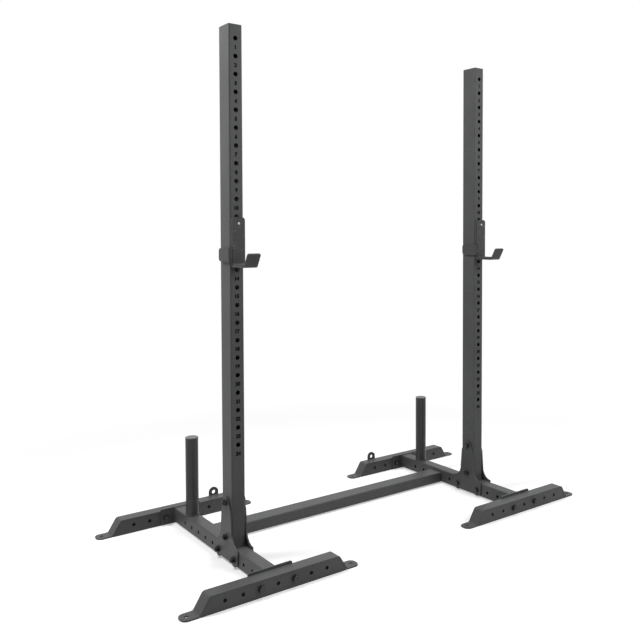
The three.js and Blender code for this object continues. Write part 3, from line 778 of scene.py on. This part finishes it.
def build_upright_plug(side):
    """A lid on top of a skirt, both inside the top of the post."""
    s = sizes()
    plug = NodeBox(f"{side}_upright_cap")
    corner = s.tube_corner - s.tube_wall
    half = Vector((plug.size.x / 2, plug.size.y / 2))
    wall = Vector((s.plug_wall, s.plug_wall))
    outline = rectangle(-half, half, [corner] * 4)
    hollow = rectangle(wall - half, half - wall, [corner / 2] * 4)
    lid = plug.high.z - s.plug_wall
    x = plug.middle.x
    y = plug.middle.y
    mesh = bmesh.new()
    plate(mesh, [outline], Matrix.Translation((x, y, lid)), s.plug_wall)
    plate(mesh, [outline, hollow], Matrix.Translation((x, y, plug.low.z)), lid - plug.low.z)
    add_piece(f"post_plug_{side}", mesh, f"{side}_upright_cap", "cap_plastic", bevel=s.bevel)


def build_rail(side):
    s = sizes()
    rail = NodeBox(f"{side}_rail")
    axis = NodeBox(f"{side}_upright").middle.y
    # The rail's local Y points down, so a hole's place across its side is counted downwards
    drop = rail.middle.z - s.rail_hole_height
    holes = []
    for index in range(s.rail_hole_first, s.rail_hole_last + 1):
        along = index * s.hole_pitch
        holes.append((1, drop, along, s.bolt_hole_radius))
        holes.append((3, -drop, along, s.bolt_hole_radius))
    inner, sign = (3, -1) if side == "left" else (1, 1)
    for index in (1, 2):
        bolt = NodeBox(f"{side}_cross_bolt_{index}").middle
        holes.append((inner, sign * (rail.middle.z - bolt.z), bolt.y - axis, s.bolt_hole_radius))
    matrix = facing_rear(rail.middle.x, axis, rail.middle.z)
    mesh = bmesh.new()
    square_tube(mesh, matrix, rail.size.x, rail.size.z, rail.low.y - axis, rail.high.y - axis, holes)
    add_piece(f"rail_{side}", mesh, f"{side}_rail", bevel=s.bevel)


def build_rail_plate(side, end):
    s = sizes()
    box = NodeBox(f"{side}_{end}_rail_plate")
    half = box.size.x / 2
    loops = [rectangle((-half, box.low.z), (half, box.high.z), [s.tube_corner] * 4)]
    for across in (-s.foot_hole_pitch, s.foot_hole_pitch):
        loops.append(circle((across, s.foot_hole_height), s.bolt_hole_radius))
    mesh = bmesh.new()
    plate(mesh, loops, facing_front(box.middle.x, box.high.y), box.size.y)
    add_piece(f"rail_plate_{side}_{end}", mesh, f"{side}_{end}_rail_plate", bevel=s.bevel)


def build_rail_welds(side):
    """A bead round the rail at each of its end plates."""
    rail = NodeBox(f"{side}_rail")
    corners = [sizes().tube_corner] * 4
    outline = rectangle((rail.low.x, rail.low.z), (rail.high.x, rail.high.z), corners, facets=5)
    for end in ENDS:
        box = NodeBox(f"{side}_{end}_rail_plate")
        y = box.high.y if end == "front" else box.low.y
        mesh = bmesh.new()
        bead(mesh, [(x, y, z) for x, z in outline], closed=True)
        add_piece(f"rail_weld_{side}_{end}", mesh)


def build_cross_tube():
    s = sizes()
    tube = NodeBox("cross_tube")
    matrix = facing_right(0, tube.middle.y, tube.middle.z)
    mesh = bmesh.new()
    square_tube(mesh, matrix, tube.size.y, tube.size.z, tube.low.x, tube.high.x)
    add_piece("cross_tube_skin", mesh, "cross_tube", bevel=s.bevel)


def build_cross_flange(side):
    s = sizes()
    flange = NodeBox(f"{side}_cross_flange")
    place = Vector((flange.low.x, flange.middle.y, flange.middle.z))
    half = Vector((flange.size.y / 2, flange.size.z / 2))
    loops = [rectangle(-half, half, [s.tube_corner] * 4)]
    for index in (1, 2):
        spot = NodeBox(f"{side}_cross_bolt_{index}").middle - place
        loops.append(circle((spot.y, spot.z), s.bolt_hole_radius, facets=24))
    mesh = bmesh.new()
    plate(mesh, loops, facing_right(*place), flange.size.x)
    add_piece(f"cross_flange_{side}", mesh, f"{side}_cross_flange", bevel=s.bevel)


# Feet

def build_foot(side, end):
    """Strap bent down to a floor tab at each end."""
    s = sizes()
    foot = NodeBox(f"{side}_{end}_foot")
    tip = foot.size.x / 2
    top = foot.size.z - s.strap
    run = [
        (-tip, 0),
        (-s.foot_base_half, 0),
        (-s.foot_top_half, top),
        (s.foot_top_half, top),
        (s.foot_base_half, 0),
        (tip, 0),
    ]
    line = [(foot.middle.x + x, foot.middle.y, z) for x, z in run]
    holes = [
        (0, tip - s.foot_tab_hole, 0.0, s.bolt_hole_radius),
        (4, s.foot_tab_hole - s.foot_base_half, 0.0, s.bolt_hole_radius),
    ]
    corners = (s.foot_tab_corner, s.foot_tab_corner)
    mesh = bmesh.new()
    folded_sheet(mesh, line, Y_AXIS, foot.size.y / 2, s.strap, s.strap_bend, holes, corners)
    add_piece(f"foot_{side}_{end}", mesh, f"{side}_{end}_foot", bevel=s.bevel)


def build_foot_plates(side, end):
    """Side plates under the strap, each with a weld bead along the strap's flat top."""
    s = sizes()
    foot = NodeBox(f"{side}_{end}_foot")
    top = foot.size.z - s.strap - s.seam
    base_half = s.foot_base_half - 2 * s.seam
    top_half = s.foot_top_half - 2 * s.seam
    right = fillet((base_half, 0), (top_half, top), (0, top), s.strap_bend, facets=8)
    left = [(-u, v) for u, v in reversed(right)]
    loops = [[(-base_half, 0), (base_half, 0), *right, *left]]
    for index in range(-s.foot_hole_half_count, s.foot_hole_half_count + 1):
        loops.append(circle((index * s.foot_hole_pitch, s.foot_hole_height), s.bolt_hole_radius))
    weld_half = right[-1][0]
    front_inner = foot.low.y + s.foot_plate
    rear_inner = foot.high.y - s.foot_plate
    for name, back, inner in (("front", front_inner, front_inner), ("rear", foot.high.y, rear_inner)):
        mesh = bmesh.new()
        plate(mesh, loops, facing_front(foot.middle.x, back), s.foot_plate)
        bead(mesh, [(foot.middle.x + x, inner, top) for x in (-weld_half, weld_half)])
        add_piece(f"foot_{name}_plate_{side}_{end}", mesh, bevel=s.bevel)


def build_eye_plate(side):
    s = sizes()
    eye = NodeBox(f"{side}_rear_eye_plate")
    foot = NodeBox(f"{side}_rear_foot")
    radius = eye.size.x / 2
    centre = (0, eye.high.z - radius)
    loops = [
        [(-radius, eye.low.z), (radius, eye.low.z), *arc(centre, radius, 0, 180, facets=32)],
        circle(centre, s.eye_hole_radius),
    ]
    mesh = bmesh.new()
    plate(mesh, loops, facing_front(eye.middle.x, eye.high.y), eye.size.y)
    y = foot.high.y + s.weld / 2
    for x in (eye.middle.x - radius, eye.middle.x + radius):
        bead(mesh, [(x, y, eye.low.z + s.weld), (x, y, foot.high.z - 2 * s.weld)])
    add_piece(f"eye_plate_{side}", mesh, f"{side}_rear_eye_plate", bevel=s.bevel)


# Gussets

def gusset_outline(low, high, half):
    """Two lobes round the rail's bolts, a flared blade and a round top."""
    s = sizes()
    lobe = s.hole_pitch
    radius = half - lobe
    web_half = lobe - math.sqrt(radius ** 2 - (s.rail_hole_height - s.gusset_web) ** 2)
    start = math.degrees(math.atan2(s.gusset_web - s.rail_hole_height, web_half - lobe)) + 360
    right = [(web_half, s.gusset_web)]
    right += arc((lobe, low + radius), radius, start, 360, facets=20)[1:]
    right.append((half, s.gusset_shoulder))
    flare_facets = 16
    for step in range(1, flare_facets + 1):
        sweep = math.pi / 2 * step / flare_facets
        width = half - (half - s.gusset_flare_half) * math.sin(sweep)
        rise = (s.gusset_flare_height - s.gusset_shoulder) * (1 - math.cos(sweep))
        right.append((width, s.gusset_shoulder + rise))
    right.append((s.gusset_neck_half, s.gusset_neck_height))
    top_radius = high - s.gusset_high_bolt
    right += arc((0, s.gusset_high_bolt), top_radius, math.degrees(s.gusset_top_start), 90, facets=14)
    left = [(-u, v) for u, v in reversed(right[:-1])]
    return right + left


def build_gusset(side, face):
    s = sizes()
    gusset = NodeBox(f"{side}_gusset_{face}")
    loops = [gusset_outline(gusset.low.z, gusset.high.z, gusset.size.y / 2)]
    for along, height in (
        (0, s.gusset_high_bolt),
        (0, s.gusset_low_bolt),
        (-s.hole_pitch, s.rail_hole_height),
        (s.hole_pitch, s.rail_hole_height),
    ):
        loops.append(circle((along, height), s.bolt_hole_radius, facets=24))
    mesh = bmesh.new()
    plate(mesh, loops, facing_right(gusset.low.x, gusset.middle.y), gusset.size.x)
    add_piece(f"gusset_{side}_{face}", mesh, f"{side}_gusset_{face}", bevel=s.bevel)


# Fasteners

def build_fastener(name, node, axis, head_first):
    """Bolt, washers and nut along an axis; the head is at its low end when head_first."""
    f = bpy.context.scene.fastener_sizes
    box = NodeBox(node)
    way = axis if head_first else -axis
    span = box.size.dot(axis)
    matrix = frame_matrix(box.middle - way * span / 2, Z_AXIS, way)
    shank = f.shank / 2
    nut_top = span - f.free_thread
    nut_low = nut_top - f.nut
    mesh = bmesh.new()
    hexagon(mesh, matrix, f.head, 0.0)
    hexagon(mesh, matrix, nut_low, nut_top, shank)
    rim = f.washer_width / 2
    edge = f.washer_edge
    for low in (f.head, nut_low - f.washer):
        high = low + f.washer
        profile = [(shank, low), (rim - edge, low), (rim, low + edge)]
        profile += [(rim, high - edge), (rim - edge, high), (shank, high)]
        lathe(mesh, matrix, profile)
    thread = [(shank, f.head), (shank, nut_top - f.thread_pitch)]
    height = nut_top - f.thread_pitch / 2
    while height + f.thread_pitch < span:
        thread.append((shank - f.thread_depth, height))
        thread.append((shank, height + f.thread_pitch / 2))
        height += f.thread_pitch
    thread += [(shank - f.thread_depth, span), (0, span)]
    lathe(mesh, matrix, thread, facets=32)
    add_piece(name, mesh, node, "black_zinc", sharp=30)


def fasteners():
    """Name, node, axis and direction of every bolt."""
    for side in SIDES:
        for index in (1, 2, 3, 4):
            yield f"gusset_fastener_{side}_{index}", f"{side}_gusset_bolt_{index}", X_AXIS, side == "right"
        for end in ENDS:
            for index in (1, 2):
                node = f"{side}_{end}_foot_bolt_{index}"
                yield f"foot_fastener_{side}_{end}_{index}", node, Y_AXIS, end == "front"
        for index in (1, 2):
            yield f"cross_fastener_{side}_{index}", f"{side}_cross_bolt_{index}", X_AXIS, side == "left"


# Storage posts

def build_store_post(side):
    """Round tube with a weld bead at its foot."""
    s = sizes()
    post = NodeBox(f"{side}_store_post")
    radius = post.size.x / 2
    inner = radius - s.tube_wall
    low = post.low.z
    high = post.high.z
    mesh = bmesh.new()
    profile = [(inner, low), (radius, low), (radius, high - s.bevel), (radius - s.bevel, high)]
    profile += [(inner + s.bevel, high), (inner, high - s.bevel), (inner, low)]
    lathe(mesh, Matrix.Translation((post.middle.x, post.middle.y, 0)), profile, facets=96)
    foot = circle(post.middle, radius, facets=96)
    bead(mesh, [(x, y, low + s.weld / 2) for x, y in foot], closed=True)
    add_piece(f"store_post_{side}", mesh, f"{side}_store_post", finish="post_coat")


def build_store_plug(side):
    """Plug with a rounded lid, which is dished in the middle."""
    s = sizes()
    post = NodeBox(f"{side}_store_post")
    plug = NodeBox(f"{side}_store_cap")
    radius = plug.size.x / 2
    skirt = post.size.x / 2 - s.tube_wall - s.seam
    lid = post.high.z + s.seam
    top = plug.high.z
    rounding = (top - lid) * s.lid_rounding
    dish = top - s.dish_depth
    profile = [(0, plug.low.z), (skirt, plug.low.z), (skirt, lid), (radius, lid)]
    profile += arc((radius - rounding, top - rounding), rounding, 0, 90, facets=8)
    profile += [(radius * s.dish_rim, top), (radius * s.dish_floor, dish), (0, dish)]
    mesh = bmesh.new()
    lathe(mesh, Matrix.Translation((post.middle.x, post.middle.y, 0)), profile, facets=96)
    add_piece(f"store_plug_{side}", mesh, f"{side}_store_cap", "store_cap")


# Height numbers

def build_numerals(side):
    """One number halfway between each peg hole and the next, counted from the top."""
    s = sizes()
    numbers = bpy.context.scene.numeral_sizes
    post = NodeBox(f"{side}_upright")
    mesh = bmesh.new()
    for index, height in enumerate(peg_heights(post.high.z), start=1):
        curve = bpy.data.curves.new(f"numeral_{side}_{index}", "FONT")
        curve.body = str(index)
        curve.size = numbers.height * numbers.font_ratio
        curve.offset = numbers.boldness
        curve.extrude = numbers.relief / 2
        curve.resolution_u = 4
        text = show(curve.name, curve)
        bpy.context.view_layer.update()
        evaluated = text.evaluated_get(bpy.context.evaluated_depsgraph_get())
        shape = bpy.data.meshes.new_from_object(evaluated)
        across = [vertex.co.x for vertex in shape.vertices]
        up = [vertex.co.y for vertex in shape.vertices]
        centre = Vector(((min(across) + max(across)) / 2, (min(up) + max(up)) / 2, 0))
        spot = Vector((post.middle.x, post.low.y - numbers.relief / 2, height - s.hole_pitch / 2))
        shape.transform(frame_matrix(spot, X_AXIS, -Y_AXIS) @ Matrix.Translation(-centre))
        mesh.from_mesh(shape)
        bpy.data.objects.remove(text)
        bpy.data.meshes.remove(shape)
    add_piece(f"numerals_{side}", mesh, slot=None, finish="numeral")


# Cups

def build_cup_bracket(side):
    """Bent plate with a lip, a shelf and a side flange."""
    s = sizes()
    c = bpy.context.scene.cup_sizes
    bracket = NodeBox(f"{side}_cup_bracket")
    pad = NodeBox(f"{side}_cup_pad")
    peg = NodeBox(f"{side}_cup_peg")
    x = NodeBox(f"{side}_upright").middle.x
    lip = bracket.low.y
    shelf = bracket.low.z
    rear = pad.low.y - s.seam
    half = pad.size.x / 2 + c.plate_inset
    line = [
        (x, lip, shelf + c.lip_rise),
        (x, lip + c.lip_flare, shelf),
        (x, rear, shelf),
        (x, rear, bracket.high.z),
    ]
    peg_rise = peg.middle.z - shelf
    holes = [
        (2, peg_rise, 0.0, peg.size.x / 2 + s.seam),
        (2, peg_rise + c.screw_rise, 0.0, c.screw_hole),
    ]
    mesh = bmesh.new()
    folded_sheet(mesh, line, -X_AXIS, half, c.steel, c.bend, holes, (c.lip_corner, c.corner))
    front = rear - c.steel
    side_x = bracket.low.x
    z = peg.middle.z - (c.flange_top + c.flange_bottom) / 2
    line = [(x - half, front, z), (side_x, front, z), (side_x, bracket.high.y, z)]
    flange_half = (c.flange_bottom - c.flange_top) / 2
    corners = (0, c.flange_corner)
    folded_sheet(mesh, line, Z_AXIS, flange_half, -c.steel, c.bend, (), corners, facets=10)
    add_piece(f"cup_bracket_piece_{side}", mesh, f"{side}_cup_bracket", "cup_coat", f"{side}_cup", s.bevel)


def build_cup_liner(side):
    """Bent liner on the shelf and in front of the plate."""
    c = bpy.context.scene.cup_sizes
    liner = NodeBox(f"{side}_cup_liner")
    screw = NodeBox(f"{side}_cup_screw").middle
    x = liner.middle.x
    low = liner.low.z
    line = [(x, liner.low.y, low), (x, liner.high.y, low), (x, liner.high.y, liner.high.z)]
    holes = [(1, screw.z - low, 0.0, c.screw_hole)]
    corners = (c.low_corner, c.corner)
    mesh = bmesh.new()
    folded_sheet(mesh, line, -X_AXIS, liner.size.x / 2, c.liner, c.liner_bend, holes, corners)
    add_piece(f"cup_liner_piece_{side}", mesh, f"{side}_cup_liner", "liner", f"{side}_cup", c.liner_edge, 3)


def build_cup_pad(side):
    """Flat pad between the plate and the post."""
    s = sizes()
    c = bpy.context.scene.cup_sizes
    pad = NodeBox(f"{side}_cup_pad")
    peg = NodeBox(f"{side}_cup_peg")
    screw = NodeBox(f"{side}_cup_screw").middle
    half = pad.size.x / 2
    corners = (c.corner, c.corner, c.low_corner, c.low_corner)
    loops = [
        rectangle((-half, pad.low.z), (half, pad.high.z), corners),
        circle((0, peg.middle.z), peg.size.x / 2 + s.seam),
        circle((0, screw.z), c.screw_hole),
    ]
    mesh = bmesh.new()
    plate(mesh, loops, facing_front(pad.middle.x, pad.high.y), pad.size.y)
    add_piece(f"cup_pad_piece_{side}", mesh, f"{side}_cup_pad", "liner", f"{side}_cup", s.bevel)


def build_cup_peg(side):
    c = bpy.context.scene.cup_sizes
    peg = NodeBox(f"{side}_cup_peg")
    radius = peg.size.x / 2
    end = peg.size.y
    profile = [(0, 0), (radius - c.peg_edge, 0), (radius, c.peg_edge)]
    profile += [(radius, end - c.peg_chamfer), (radius - c.peg_chamfer, end), (0, end)]
    mesh = bmesh.new()
    lathe(mesh, facing_rear(peg.middle.x, peg.low.y, peg.middle.z), profile, facets=64)
    add_piece(f"cup_peg_piece_{side}", mesh, f"{side}_cup_peg", "black_zinc", f"{side}_peg")


def build_cup_screw(side):
    """Button-head screw with a round socket."""
    c = bpy.context.scene.cup_sizes
    screw = NodeBox(f"{side}_cup_screw")
    radius = screw.size.x / 2
    head = radius * c.screw_head
    socket = radius * c.screw_socket
    shank = radius * c.screw_shank
    floor = head * c.socket_depth
    profile = [(0, floor), (socket, floor), (socket, 0)]
    crown_facets = 8
    for step in range(1, crown_facets + 1):
        turn = math.pi / 2 * step / crown_facets
        profile.append((socket + (radius - socket) * math.sin(turn), head * (1 - math.cos(turn))))
    profile += [(shank, head), (shank, screw.size.y), (0, screw.size.y)]
    mesh = bmesh.new()
    lathe(mesh, facing_rear(screw.middle.x, screw.low.y, screw.middle.z), profile)
    add_piece(f"cup_screw_piece_{side}", mesh, f"{side}_cup_screw", "bright_zinc", f"{side}_cup")


# Stage

def build_camera():
    stage = bpy.context.scene.stage_settings
    data = bpy.data.cameras.new("photo_camera")
    data.sensor_width = 36
    data.lens = stage.lens
    data.shift_x = stage.shift_x
    data.shift_y = stage.shift_y
    data.clip_start = 0.05
    data.clip_end = 200
    camera = show("photo_camera", data)
    camera.location = stage.camera
    camera.rotation_euler = (math.pi / 2 - stage.dip, 0, -stage.turn)
    bpy.context.scene.camera = camera


def build_floor():
    mesh = bmesh.new()
    half = bpy.context.scene.stage_settings.floor_half
    bmesh.ops.create_grid(mesh, x_segments=1, y_segments=1, size=half)
    data = bpy.data.meshes.new("studio_floor")
    mesh.to_mesh(data)
    mesh.free()
    data.materials.append(material("floor"))
    show("studio_floor", data)


def build_lights():
    """Softboxes, each with its place, target, width, depth and power."""
    stage = bpy.context.scene.stage_settings
    for name, place, target, width, depth, watts in (
        ("left", (-1.9, 0.5, 2.7), (-0.5, 0, 1.3), 0.8, 0.8, stage.left),
        ("top", (0.9, 0.1, 3.4), (0.2, 0, 0), 2.0, 1.6, stage.top),
        ("right", (1.7, -2.4, 2.1), (0.4, 0, 1.0), 1.2, 1.2, stage.right),
        ("front", (0.9, -3.4, 2.3), (0, 0, 1.0), 1.6, 1.6, stage.front),
    ):
        data = bpy.data.lights.new(f"{name}_softbox", "AREA")
        data.shape = "RECTANGLE"
        data.size = width
        data.size_y = depth
        data.energy = watts
        light = show(data.name, data)
        light.location = place
        light.rotation_euler = (Vector(target) - Vector(place)).to_track_quat("-Z", "Y").to_euler()


def build_world():
    stage = bpy.context.scene.stage_settings
    world = bpy.data.worlds.new("studio")
    graph = Graph("studio", world)
    lit = graph.node("ShaderNodeBackground", {}, {"Color": (1, 1, 1), "Strength": stage.ambient})
    seen = graph.node("ShaderNodeBackground", {}, {"Color": (1, 1, 1), "Strength": 1.0})
    mixed = graph.mix_shaders(shown_rays(graph), lit, seen)
    graph.node("ShaderNodeOutputWorld", {}, {"Surface": mixed.outputs[0]})
    bpy.context.scene.world = world
    bpy.context.scene.view_settings.view_transform = "Standard"


# Operators

class STAND_OT_posts(Operator):
    """Upright posts with peg holes and plugs"""

    bl_idname = "stand.posts"
    bl_label = "Upright posts"

    def execute(self, context):
        for side in SIDES:
            build_upright(side)
            build_upright_plug(side)
        return {"FINISHED"}


class STAND_OT_numerals(Operator):
    """Height numbers below the peg holes"""

    bl_idname = "stand.numerals"
    bl_label = "Height numbers"

    def execute(self, context):
        for side in SIDES:
            build_numerals(side)
        return {"FINISHED"}


class STAND_OT_rails(Operator):
    """Base rails with end plates and welds"""

    bl_idname = "stand.rails"
    bl_label = "Base rails"

    def execute(self, context):
        for side in SIDES:
            build_rail(side)
            build_rail_welds(side)
            for end in ENDS:
                build_rail_plate(side, end)
        return {"FINISHED"}


class STAND_OT_feet(Operator):
    """Feet with floor tabs and eye plates"""

    bl_idname = "stand.feet"
    bl_label = "Feet"

    def execute(self, context):
        for side in SIDES:
            for end in ENDS:
                build_foot(side, end)
                build_foot_plates(side, end)
            build_eye_plate(side)
        return {"FINISHED"}


class STAND_OT_gussets(Operator):
    """Gusset plates at the foot of each post"""

    bl_idname = "stand.gussets"
    bl_label = "Gussets"

    def execute(self, context):
        for side in SIDES:
            for face in ("minus_x", "plus_x"):
                build_gusset(side, face)
        return {"FINISHED"}


class STAND_OT_cross(Operator):
    """Cross tube with its end flanges"""

    bl_idname = "stand.cross"
    bl_label = "Cross tube"

    def execute(self, context):
        build_cross_tube()
        for side in SIDES:
            build_cross_flange(side)
        return {"FINISHED"}


class STAND_OT_storage(Operator):
    """Storage posts with welds and plugs"""

    bl_idname = "stand.storage"
    bl_label = "Storage posts"

    def execute(self, context):
        for side in SIDES:
            build_store_post(side)
            build_store_plug(side)
        return {"FINISHED"}


class STAND_OT_fasteners(Operator):
    """Bolts, washers and nuts"""

    bl_idname = "stand.fasteners"
    bl_label = "Fasteners"

    def execute(self, context):
        for fastener in fasteners():
            build_fastener(*fastener)
        return {"FINISHED"}


class STAND_OT_cups(Operator):
    """Cups with liners, pads, pegs and screws"""

    bl_idname = "stand.cups"
    bl_label = "Cups"

    def execute(self, context):
        for side in SIDES:
            build_cup_bracket(side)
            build_cup_liner(side)
            build_cup_pad(side)
            build_cup_peg(side)
            build_cup_screw(side)
        return {"FINISHED"}


class STAND_OT_stage(Operator):
    """Camera, floor, lights and background"""

    bl_idname = "stand.stage"
    bl_label = "Stage"

    def execute(self, context):
        build_camera()
        build_floor()
        build_lights()
        build_world()
        return {"FINISHED"}


STEPS = (
    STAND_OT_posts,
    STAND_OT_numerals,
    STAND_OT_rails,
    STAND_OT_feet,
    STAND_OT_gussets,
    STAND_OT_cross,
    STAND_OT_storage,
    STAND_OT_fasteners,
    STAND_OT_cups,
    STAND_OT_stage,
)


class STAND_PT_panel(Panel):
    """Lists the build steps"""

    bl_idname = "STAND_PT_panel"
    bl_label = "Squat stand"
    bl_space_type = "VIEW_3D"
    bl_region_type = "UI"
    bl_category = "Squat stand"

    def draw(self, context):
        for step in STEPS:
            self.layout.operator(step.bl_idname)


GROUPS = {
    "stand_sizes": StandSizes,
    "cup_sizes": CupSizes,
    "fastener_sizes": FastenerSizes,
    "numeral_sizes": NumeralSizes,
    "stage_settings": StageSettings,
    "look_settings": LookSettings,
}


def register():
    for name, group in GROUPS.items():
        bpy.utils.register_class(group)
        setattr(bpy.types.Scene, name, PointerProperty(type=group))
    for step in STEPS:
        bpy.utils.register_class(step)
    bpy.utils.register_class(STAND_PT_panel)


def unregister():
    bpy.utils.unregister_class(STAND_PT_panel)
    for step in reversed(STEPS):
        bpy.utils.unregister_class(step)
    for name, group in GROUPS.items():
        delattr(bpy.types.Scene, name)
        bpy.utils.unregister_class(group)


def main():
    register()
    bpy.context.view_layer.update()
    for step in STEPS:
        group, name = step.bl_idname.split(".")
        getattr(getattr(bpy.ops, group), name)()


if __name__ == "__main__":
    main()
